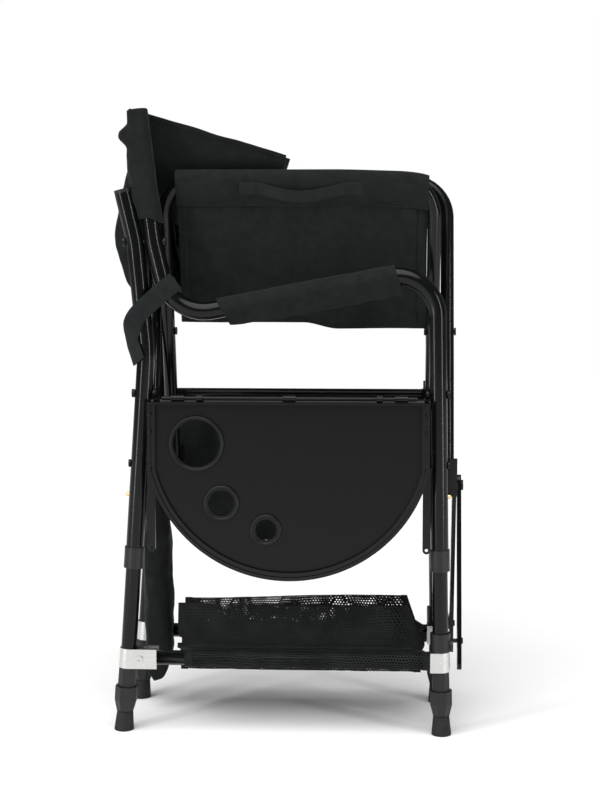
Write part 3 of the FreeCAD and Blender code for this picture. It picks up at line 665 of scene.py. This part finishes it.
# ---- arm pads ---------------------------------------------------------------------------
WRAP_START, WRAP_LENGTH, WRAP_R = 66.0, 250.0, 14.6
WRAP_ROWS, WRAP_COLUMNS = 49, 40


def arm_pad(name, side):
    """Padded wrap, sewn along its lower edge, hanging loosely on the arm."""
    along = (ARM_FRONT - ARM_HEEL).normalized()
    up = Vector((-along.z, 0, along.x))
    rows = []
    for i in range(WRAP_ROWS):
        t = i / (WRAP_ROWS - 1)
        centre = ARM_HEEL + along * (WRAP_START + WRAP_LENGTH * t) + Vector((0, -SIDE_Y, 0))
        hang = 10.0 + 4.0 * t + 1.5 * math.sin(5 * t)
        radius = WRAP_R + 0.8 * max(0.0, 1 - abs(t - 0.5) * 2)
        row = []
        for j in range(WRAP_COLUMNS):
            angle = 2 * math.pi * j / WRAP_COLUMNS
            high, wide = math.cos(angle), math.sin(angle)
            y, z = wide * radius, high * radius
            if high < 0:
                z -= hang * (-high) ** 1.6
                y *= 1 - 0.74 * (-high) ** 1.5
            fold = wrinkle(Vector((t * 250, angle * 12, 0)), 24, 2.2, 5.0)
            fold += wrinkle(Vector((t * 250, angle * 9, 7)), 9, 0.7)
            bulge = 1 + fold / 30
            shear = -z * (0.32 - 0.2 * t) + 4
            row.append(centre + up * z * bulge + Vector((0, -1, 0)) * y * bulge + along * shear)
        rows.append(row)
    ends = []
    for rim, inward in ((rows[0], 1), (rows[-1], -1)):
        middle = sum(rim, Vector()) / WRAP_COLUMNS
        ends.append([p + (middle - p) * 0.05 + along * inward * 2.5 for p in rim])
    rows = [ends[0]] + rows + [ends[1]]
    rows = [[Vector((p.x, p.y * -side, p.z)) for p in row + row[:1]] for row in rows]
    piece = sheet_grid(name + "_arm_wrap", rows, LOOKS["canvas"], 1.3, 1)
    finish_piece(piece, name + "_side", (name + "_arm_pad",))


# ---- mesh shelf -------------------------------------------------------------------------
# The pleats are as steep as the seat's folded frame, which opens with them.
FRAME_OUT, FRAME_UP = 2 * PIVOT_Y, 2 * (RAIL_Z - SCISSOR_Z)
MESH_TILT = math.radians(90) - math.atan2(FRAME_OUT, FRAME_UP)
MESH_RISE, MESH_FALL = 60.0, 104.0
MESH_RETURN = math.hypot(FRAME_OUT, FRAME_UP) / 2 - (MESH_RISE + MESH_FALL)
CASING_LOOP_R = 12.3
PLEAT_EDGE = [(y, abs(y) * 1.3 + 1.0) for y in (-1.3, -0.7, 0, 0.7, 1.3)]  # across, and in from its tip
CREST_LIFT = {NEAR: (4.0, 0.0), FAR: (-5.5, 7.5)}  # at the rear end, and how much more in front
# name, from and to as a share of the shelf's length, columns, thickness, look
MESH_SPANS = (("", 0.0, 1.0, 40, 0.8, "mesh"), ("_rear_hem", -0.004, 0.026, 3, 2.0, "mesh_binding"),
              ("_front_hem", 0.974, 1.004, 3, 2.0, "mesh_binding"))


def mesh_lines():
    """The shelf's section, in the Y-Z plane of the near side, in three runs."""
    hinge = Vector((0, -PIVOT_Y, MESH_HINGE_Z))
    up, down = (Vector((0, math.cos(MESH_TILT), sign * math.sin(MESH_TILT))) for sign in (1, -1))
    top = hinge + up * MESH_RISE
    dip = top + down * MESH_FALL
    rail = Vector((0, -SIDE_Y, LOWER_RAIL_Z))
    casing = [rail + Vector((0, math.cos(a), math.sin(a))) * CASING_LOOP_R
              for a in (math.radians(382 - 320 * k / 21) for k in range(22))]
    tab = [rail + Vector((0, 13, 8)), hinge - Vector((0, 6, 0)), hinge - Vector((0, 1.5, 0))]
    first = casing + tab + [hinge + up * s for s in (2.5, 4, 6)]
    second = [hinge + up * s for s in (6, 13, 20, 28, 36, 44, 51)]
    second += [top + Vector((0, y, -inward)) for y, inward in PLEAT_EDGE]
    second += [top + down * s for s in (9, 16, 24, 32, 42, 52)]
    third = [top + down * s for s in (52, 62, 72, 82, 94)]
    third += [dip + Vector((0, y, inward)) for y, inward in PLEAT_EDGE]
    third += [dip + up * s for s in (10, 20, 30, 40, 50, MESH_RETURN)]
    return (("casing", first, len(casing)), ("crest", second, 0), ("trough", third, 0)), hinge, top, dip


def mesh_point(x, point, side, hinge, loose):
    """Where the cloth lies at x along the shelf: it sags at the rear and slants off in front."""
    lift = (point.z - hinge.z) / (MESH_RISE * math.sin(MESH_TILT))
    u = (x - MESH_LEFT) / (MESH_RIGHT - MESH_LEFT)
    here = Vector((x, point.y, point.z))
    if loose:
        here.y += wrinkle(Vector((x, 0, point.z * 0.3)), 55, 3.0, 9.0) * 0.6 * min(1, abs(lift))
        here.y += wrinkle(Vector((x, 30, point.z * 0.5)), 17, 0.8, 2.0) * min(1, abs(lift))
        rear_lift, more = CREST_LIFT[side]
        here.z += (rear_lift + more * ease(u, 0.0, 0.75)) * max(0.0, lift)
        here.x -= 20.0 * max(0.0, lift) * ease(u, 0.86, 1.0)
    here.y *= -side
    return here


def mesh_shelf(name, side):
    """Three pieces of net per side, each folding where one pleat turns into the next."""
    runs, hinge, top, dip = mesh_lines()
    rise, fall, back = (name + "_mesh_" + pleat for pleat in ("rise", "fall", "return"))
    joints = {"casing": (name + "_front_leg", rise, hinge, Vector((0, 0.785, 0.619)) * 2.0, ()),
              "crest": (rise, fall, top, Vector((0, 0.7, 0)), (rise,)),
              "trough": (fall, back, dip, Vector((0, 0.7, 0)), (fall, back))}
    run = 0.0
    for label, line, on_rail in runs:
        body, other, at, reach, replaced = joints[label]
        for part, low, high, steps, thickness, look in MESH_SPANS:
            rows = []
            for n, point in enumerate(line):
                wide = 1.0 if n < on_rail else 0.4 if n < on_rail + 2 else 0.0
                left, right = MESH_LEFT + 15 * wide, MESH_RIGHT + 11 * wide
                xs = [left + (right - left) * (low + (high - low) * k / steps) for k in range(steps + 1)]
                rows.append([mesh_point(x, point, side, hinge, n >= on_rail + 2) for x in xs])
            piece = sheet_grid(f"{name}_mesh_{label}{part}", rows, LOOKS[look], thickness, run=run)
            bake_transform(piece)
            finish_piece(piece, replaced=replaced if not part else ())
        width = sum((b - a).length for a, b in zip(line, line[1:]))
        run += width * MM
    seam = [Vector((x, side * (SIDE_Y - 11.9), LOWER_RAIL_Z + 9.5)) for x in range(-140, 200, 12)]
    stitches_on(name + "_mesh_seam", seam, Vector((0, -side * 0.6, 0.8)), name + "_front_leg")


def lower_rail(name, side):
    """The lower rail's bare tube, which shows behind the mesh casing."""
    low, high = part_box(name + "_lower_rail")
    rear, front = low[0] / MM - TO_FRAME.x, high[0] / MM - TO_FRAME.x
    count = 40
    rings = []
    for x, radius in ((rear, 9.3), (rear, 10.5), (front, 10.5), (front, 9.3)):
        rings.append([Vector((x, side * SIDE_Y + math.cos(a) * radius, LOWER_RAIL_Z + math.sin(a) * radius))
                      for a in (2 * math.pi * k / count for k in range(count))])
    faces = grid_faces(len(rings), count, wrap=True)
    inner = (len(rings) - 1) * count
    faces += [(inner + k, inner + (k + 1) % count, (k + 1) % count, k) for k in range(count)]
    piece = make_object(name + "_rail_tube", [p for ring in rings for p in ring], faces, LOOKS["black_steel"])
    finish_piece(piece, name + "_front_leg", (name + "_lower_rail",))


# ---- strap and pouches ------------------------------------------------------------------
STRAP_Y, STRAP_WIDTH, STRAP_POINTS = -SIDE_Y - 14.2, 27.0, 60


def strap():
    """Webbing that crosses the near post and rear leg, goes round behind and hangs in a loop."""
    line = [(-153, STRAP_Y + 7, 640), (-163, STRAP_Y + 2, 632), (-177, STRAP_Y - 1, 620),
            (-193, STRAP_Y - 1.5, 606), (-206, STRAP_Y - 1, 593), (-213, STRAP_Y + 2, 581),
            (-216, -86, 568), (-215, -84, 555), (-210, -88, 541), (-205, STRAP_Y + 1, 528)]
    centres = smooth_line([Vector(point) for point in line], STRAP_POINTS)
    across = []
    for k in range(STRAP_POINTS):
        ahead = (centres[min(k + 1, STRAP_POINTS - 1)] - centres[max(k - 1, 0)]).normalized()
        turn = ease(k, 28, 46)
        out = Vector((0.1 - 0.8 * turn, -1 + 0.3 * turn, 0)).normalized()
        across.append(ahead.cross(out).normalized())
    for k in range(1, STRAP_POINTS):
        if across[k].dot(across[k - 1]) < 0:
            across[k] = -across[k]
    piece = ribbon("near_tie_strap", centres, across, LOOKS["webbing"], STRAP_WIDTH)
    finish_piece(piece, "near_side", ("near_strap",))


SIM_FRAMES, SIM_PRESSURE, VOXEL = 18, 3.0, 4.5


def puffed(name, outline, y_low, y_high, mat, cap, seed):
    """A soft pocket: an outline given thickness, swollen by a cloth simulation and settled."""
    build = bmesh.new()
    rings = []
    for y in (y_low, y_high):
        rings.append([build.verts.new(metres((x, y, z))) for x, z in outline])
    count = len(outline)
    build.faces.new(rings[0])
    build.faces.new(rings[1][::-1])
    for k in range(count):
        build.faces.new((rings[0][k], rings[1][k], rings[1][(k + 1) % count], rings[0][(k + 1) % count]))
    bmesh.ops.recalc_face_normals(build, faces=build.faces)
    mesh = bpy.data.meshes.new(name)
    build.to_mesh(mesh)
    build.free()
    piece = bpy.data.objects.new(name, mesh)
    bpy.context.scene.collection.objects.link(piece)
    piece.data.materials.append(mat)
    remesh = piece.modifiers.new("remesh", "REMESH")
    remesh.mode, remesh.voxel_size = "VOXEL", VOXEL * MM
    smooth = piece.modifiers.new("round", "SMOOTH")
    smooth.iterations, smooth.factor = 4, 0.5
    settle(piece)
    rest = [v.co.copy() for v in piece.data.vertices]
    swell(piece)
    for vertex, before in zip(piece.data.vertices, rest):
        move = vertex.co - before
        if move.length > cap * MM:
            vertex.co = before + move.normalized() * cap * MM
        fold = wrinkle(vertex.co / MM, 26, 2.6, seed) + wrinkle(vertex.co / MM, 11, 0.9, seed)
        vertex.co += vertex.normal * fold * MM
    sub = piece.modifiers.new("smooth", "SUBSURF")
    sub.levels = sub.render_levels = 1
    return settle(piece)


def swell(piece):
    """Blow a piece up with cloth pressure, without gravity, and apply the result."""
    sim = piece.modifiers.new("cloth", "CLOTH")
    sim.settings.use_pressure = True
    sim.settings.uniform_pressure_force = SIM_PRESSURE
    sim.settings.effector_weights.gravity = 0
    sim.settings.quality = 5
    sim.point_cache.frame_start, sim.point_cache.frame_end = 1, SIM_FRAMES
    for number in range(1, SIM_FRAMES + 1):
        bpy.context.scene.frame_set(number)
    settle(piece)
    bpy.context.scene.frame_set(1)


def pouches():
    """The pouch behind the far half of the back, and the long one by the far rear leg."""
    behind = [(-215, 818), (-226, 820), (-242, 752), (-253, 708),
              (-253, 694), (-241, 652), (-225, 620), (-214, 640)]
    along = [(-214, 335), (-194, 335), (-181, 250), (-179, 90),
             (-190, 46), (-206, 40), (-217, 54), (-220, 250)]
    upper = puffed("back_pouch", behind, -10, 58, LOOKS["soft_canvas"], 5, 1.0)
    lower = puffed("leg_pouch", along, 22, 64, LOOKS["soft_canvas"], 4, 2.0)
    for piece in (upper, lower):
        finish_piece(piece, "far_side", ("far_pouches",))


BAG_LEFT, BAG_RIGHT, BAG_TOP, BAG_Y = -176.5, 196.5, 472.5, 96.2
BAG_SIDE, BAG_ROUND = 128.0, 104.0  # straight side edge, and how far the middle hangs below it
# name, y, share of the depth, belly
BAG_SHEETS = (("back", 98.2, 1.0, 0.0), ("front", 94.8, 1.0, -2.0), ("flap", 93.4, 0.38, -0.6))


def bag_depth(x):
    """How far the bag hangs below its top edge: deepest in the middle, with round corners."""
    u = (x - BAG_LEFT) / (BAG_RIGHT - BAG_LEFT)
    rear, front = min(1.0, u / 0.22), min(1.0, (1 - u) / 0.38)
    round_part = math.sqrt(1 - (1 - rear) ** 2) * math.sqrt(1 - (1 - front) ** 2.4)
    return BAG_SIDE + (BAG_ROUND - 12.0 * u) * round_part


def hanging_bag():
    """Flat cloth bag on the far side rail, with a bound edge and a flap over its mouth."""
    xs = [BAG_LEFT + (BAG_RIGHT - BAG_LEFT) * (1 - math.cos(math.pi * k / 56)) / 2 for k in range(57)]
    made = []
    for label, y, share, bulge in BAG_SHEETS:
        rows = []
        for i in range(19):
            t = i / 18
            row = []
            for x in xs:
                sag = wrinkle(Vector((x, 11 * y, t * 140)), 46, 1.5, y) * math.sin(math.pi * t)
                u = (x - BAG_LEFT) / (BAG_RIGHT - BAG_LEFT)
                belly = bulge * math.sin(math.pi * t) * math.sin(math.pi * u)
                row.append(Vector((x, y + belly + sag * 0.6, BAG_TOP - bag_depth(x) * share * t)))
            rows.append(row)
        made.append(sheet_grid("far_side_bag_" + label, rows, LOOKS["canvas"], BAG_CLOTH))
    edge = [Vector((BAG_LEFT, BAG_Y, BAG_TOP - BAG_SIDE * k / 10)) for k in range(10)]
    edge += [Vector((x, BAG_Y, BAG_TOP - bag_depth(x))) for x in xs]
    edge += [Vector((BAG_RIGHT, BAG_Y, BAG_TOP - BAG_SIDE * k / 10)) for k in range(9, -1, -1)]
    across = [Vector((0, 1, 0))] * len(edge)
    binding = ribbon("far_side_bag_binding", edge, across, LOOKS["webbing"], 7.0, 2.4, 4)
    finish_piece(binding, "far_side")
    for piece in made:
        finish_piece(piece, "far_side", ("far_pouches",))


SIDE_FLAP_LEFT, SIDE_FLAP_Y, SIDE_FLAP_TOP = -212, 95.6, 776


def side_flap():
    """Dark cloth that hangs outside the far post and joins the two bags."""
    rows = []
    for i in range(17):
        t = i / 16
        row = []
        for k in range(11):
            u = k / 10
            x = SIDE_FLAP_LEFT + (62 - 6 * t) * u
            sway = wrinkle(Vector((x, 60, t * 120)), 34, 3.0, 4.0) * min(1.0, 3 * t)
            row.append(Vector((x, SIDE_FLAP_Y + 0.5 * sway, SIDE_FLAP_TOP - (158 + 10 * u) * t)))
        rows.append(row)
    piece = sheet_grid("far_side_flap", rows, LOOKS["canvas"], BAG_CLOTH)
    finish_piece(piece, "far_side", ("far_pouches",))


# ---- studio -----------------------------------------------------------------------------
SEEN_WHITE, LIT_WHITE = 1.0, 0.16  # the surroundings' strength to the camera, and on the chair
FLOOR_HALF, FLOOR_Z = 6000.0, -0.5
SUN_FROM, SUN_STRENGTH, SUN_SPREAD = (-0.5, -1.6, 3.2), 3.4, math.radians(70)
STRIPS = (("strip_left", (-1.6, -1.6, 0.6)), ("strip_right", (1.9, -1.3, 0.6)))
STRIP_WIDTH, STRIP_HEIGHT, STRIP_WATTS, STRIP_TARGET = 0.12, 1.8, 20, (0, 0, 0.45)
CAMERA_AT, CAMERA_TARGET, CAMERA_LENS = (0.137, -2.195, 0.68), (0.022, -0.075, 0.4745), 68.8


def surroundings():
    """White to the camera, dimmer on the chair."""
    bpy.context.scene.view_settings.view_transform = "Standard"
    world = bpy.data.worlds.new("studio")
    world.use_nodes = True
    tree = world.node_tree
    background = tree.nodes["Background"]
    background.inputs["Color"].default_value = (1, 1, 1, 1)
    seen = tree.nodes.new("ShaderNodeLightPath").outputs["Is Camera Ray"]
    strength = node(tree, "ShaderNodeMapRange")
    strength.inputs["To Min"].default_value = LIT_WHITE
    strength.inputs["To Max"].default_value = SEEN_WHITE
    tree.links.new(seen, strength.inputs["Value"])
    tree.links.new(strength.outputs["Result"], background.inputs["Strength"])
    bpy.context.scene.world = world


def studio():
    """Plain pale floor, a high soft sun and two strip lights."""
    floor_mat, tree, shader = new_material("pale_floor", (0.95, 0.95, 0.95), 0.8, Specular_IOR_Level=0.1)
    vary(tree, shader, "Roughness", 0.75, 0.85, 3)
    corners = [(-FLOOR_HALF, -FLOOR_HALF), (FLOOR_HALF, -FLOOR_HALF), (FLOOR_HALF, FLOOR_HALF),
               (-FLOOR_HALF, FLOOR_HALF)]
    make_object("floor", [Vector((x, y, FLOOR_Z)) for x, y in corners], [(0, 1, 2, 3)], floor_mat)
    sun = bpy.data.lights.new("sun", "SUN")
    sun.energy, sun.angle = SUN_STRENGTH, SUN_SPREAD
    place_facing("sun", sun, SUN_FROM, (0, 0, 0))
    for name, place_at in STRIPS:
        lamp = bpy.data.lights.new(name, "AREA")
        lamp.shape, lamp.size, lamp.size_y, lamp.energy = "RECTANGLE", STRIP_WIDTH, STRIP_HEIGHT, STRIP_WATTS
        place_facing(name, lamp, place_at, STRIP_TARGET)


def place_facing(name, data, place_at, target):
    """Put a lamp or the camera somewhere, looking at a target."""
    holder = bpy.data.objects.new(name, data)
    bpy.context.scene.collection.objects.link(holder)
    holder.location = place_at
    holder.rotation_euler = (Vector(target) - Vector(place_at)).to_track_quat("-Z", "Y").to_euler()
    return holder


def camera():
    """The camera in front of the near side, a little above the arms."""
    view = bpy.data.cameras.new("camera")
    view.lens, view.sensor_width = CAMERA_LENS, 36.0
    view.sensor_fit = "AUTO"
    bpy.context.scene.camera = place_facing("camera", view, CAMERA_AT, CAMERA_TARGET)


dress_cad_nodes()
camera()
surroundings()
studio()
seat_cloth()
webbing_handle()
for side_name, side_sign in SIDES.items():
    back_cloth(side_name, side_sign)
    back_sleeve(side_name, side_sign)
    arm_pad(side_name, side_sign)
    mesh_shelf(side_name, side_sign)
    lower_rail(side_name, side_sign)
strap()
pouches()
hanging_bag()
side_flap()
